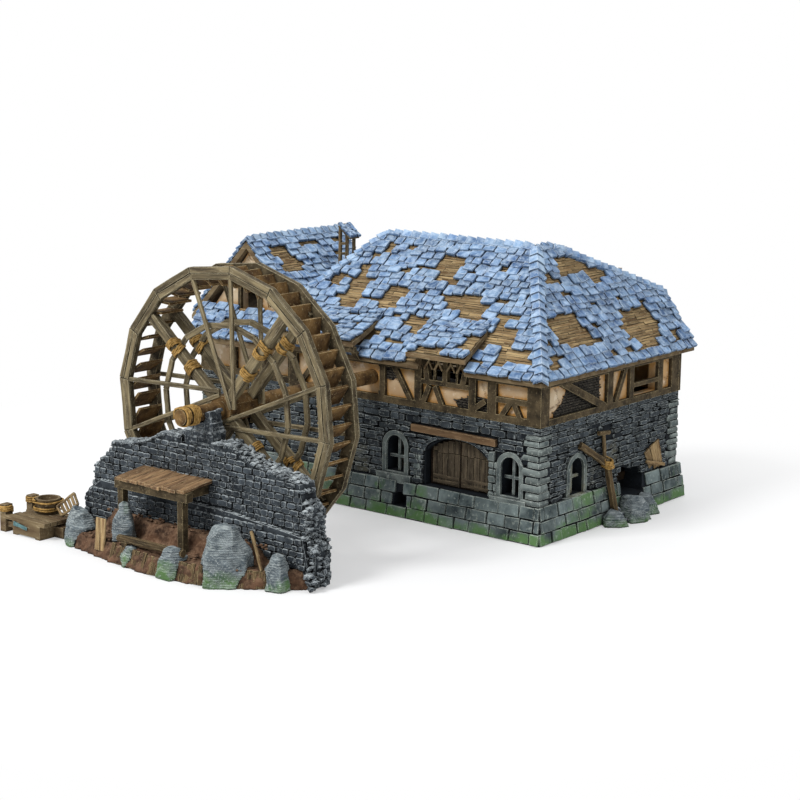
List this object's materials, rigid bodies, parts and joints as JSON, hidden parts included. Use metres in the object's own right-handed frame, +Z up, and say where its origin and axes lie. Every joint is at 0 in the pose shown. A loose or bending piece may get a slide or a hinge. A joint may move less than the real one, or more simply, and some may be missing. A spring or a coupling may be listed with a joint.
{
  "type": "miniature watermill",
  "caption": "Half-ruined fantasy watermill as a painted tabletop scenery model: stone and timber house with a tiled hipped roof, walled garden and a turning water wheel.",
  "frame": {"origin": "front right corner of the house walls, at table level", "axes": "+X along the gate front to the right as seen from in front of the gate, +Y into the house, +Z up"},
  "size_m": [0.3748, 0.4428, 0.2075],
  "materials": {
    "mossy_stone": "painted, matt",
    "dark_stone": "painted, matt, drybrushed",
    "plaster": "painted, matt",
    "dark_timber": "painted, matt",
    "floor_boards": "painted, matt",
    "blue_tiles": "painted, matt",
    "gate_wood": "painted, matt",
    "bare_boards": "painted, matt",
    "grey_stone": "painted, matt",
    "soil": "painted, matt",
    "deck_wood": "painted, matt",
    "wheel_wood": "painted, matt"
  },
  "bodies": {
    "root": {"plinth": "mossy_stone", "ground_floor": "floor_boards", "front_wall_left": "dark_stone", "front_wall_right": "dark_stone", "front_wall_over_gate": "dark_stone", "right_wall": "dark_stone", "back_wall": "dark_stone", "wing_wall": "dark_stone", "upper_floor": "floor_boards", "front_infill": "plaster", "front_frame": "dark_timber", "right_infill": "plaster", "right_frame": "dark_timber", "back_infill": "plaster", "back_frame": "dark_timber", "wing_infill": "plaster", "wing_frame": "dark_timber", "main_roof": "blue_tiles", "wing_roof": "blue_tiles", "roof_caps": "blue_tiles", "pent_roof": "blue_tiles", "dormer_frame": "dark_timber", "dormer_roof": "blue_tiles", "canopy_roof": "blue_tiles", "canopy_brackets": "dark_timber", "roof_hood": "dark_timber", "window_frames": "grey_stone", "gate_lintel": "gate_wood", "wall_prop": "dark_timber", "shutter_boards": "bare_boards", "garden_base": "soil", "outer_wall": "dark_stone", "axle_block": "grey_stone", "boulders": "grey_stone", "porch_deck": "deck_wood", "porch_frame": "dark_timber", "log_rail": "bare_boards", "jetty": "bare_boards", "tub": "bare_boards"},
    "wheel": {"wheel_axle": "wheel_wood", "wheel_rims": "wheel_wood", "wheel_paddles": "wheel_wood", "wheel_spokes": "wheel_wood", "wheel_struts": "wheel_wood"},
    "gate_left": {"gate_leaf_left": "gate_wood"},
    "gate_right": {"gate_leaf_right": "gate_wood"}
  },
  "joints": [
    {"name": "wheel_turn", "type": "hinge", "parent": "root", "child": "wheel", "pos_m": [-0.153, -0.15, 0.1025], "axis": [0, 1, 0], "continuous": true},
    {"name": "gate_left_turn", "type": "hinge", "parent": "root", "child": "gate_left", "pos_m": [-0.0994, 0.0074, 0.045], "axis": [0, 0, 1], "range_deg": [0, 85]},
    {"name": "gate_right_turn", "type": "hinge", "parent": "root", "child": "gate_right", "pos_m": [-0.0446, 0.0074, 0.045], "axis": [0, 0, 1], "range_deg": [-85, 0]}
  ]
}
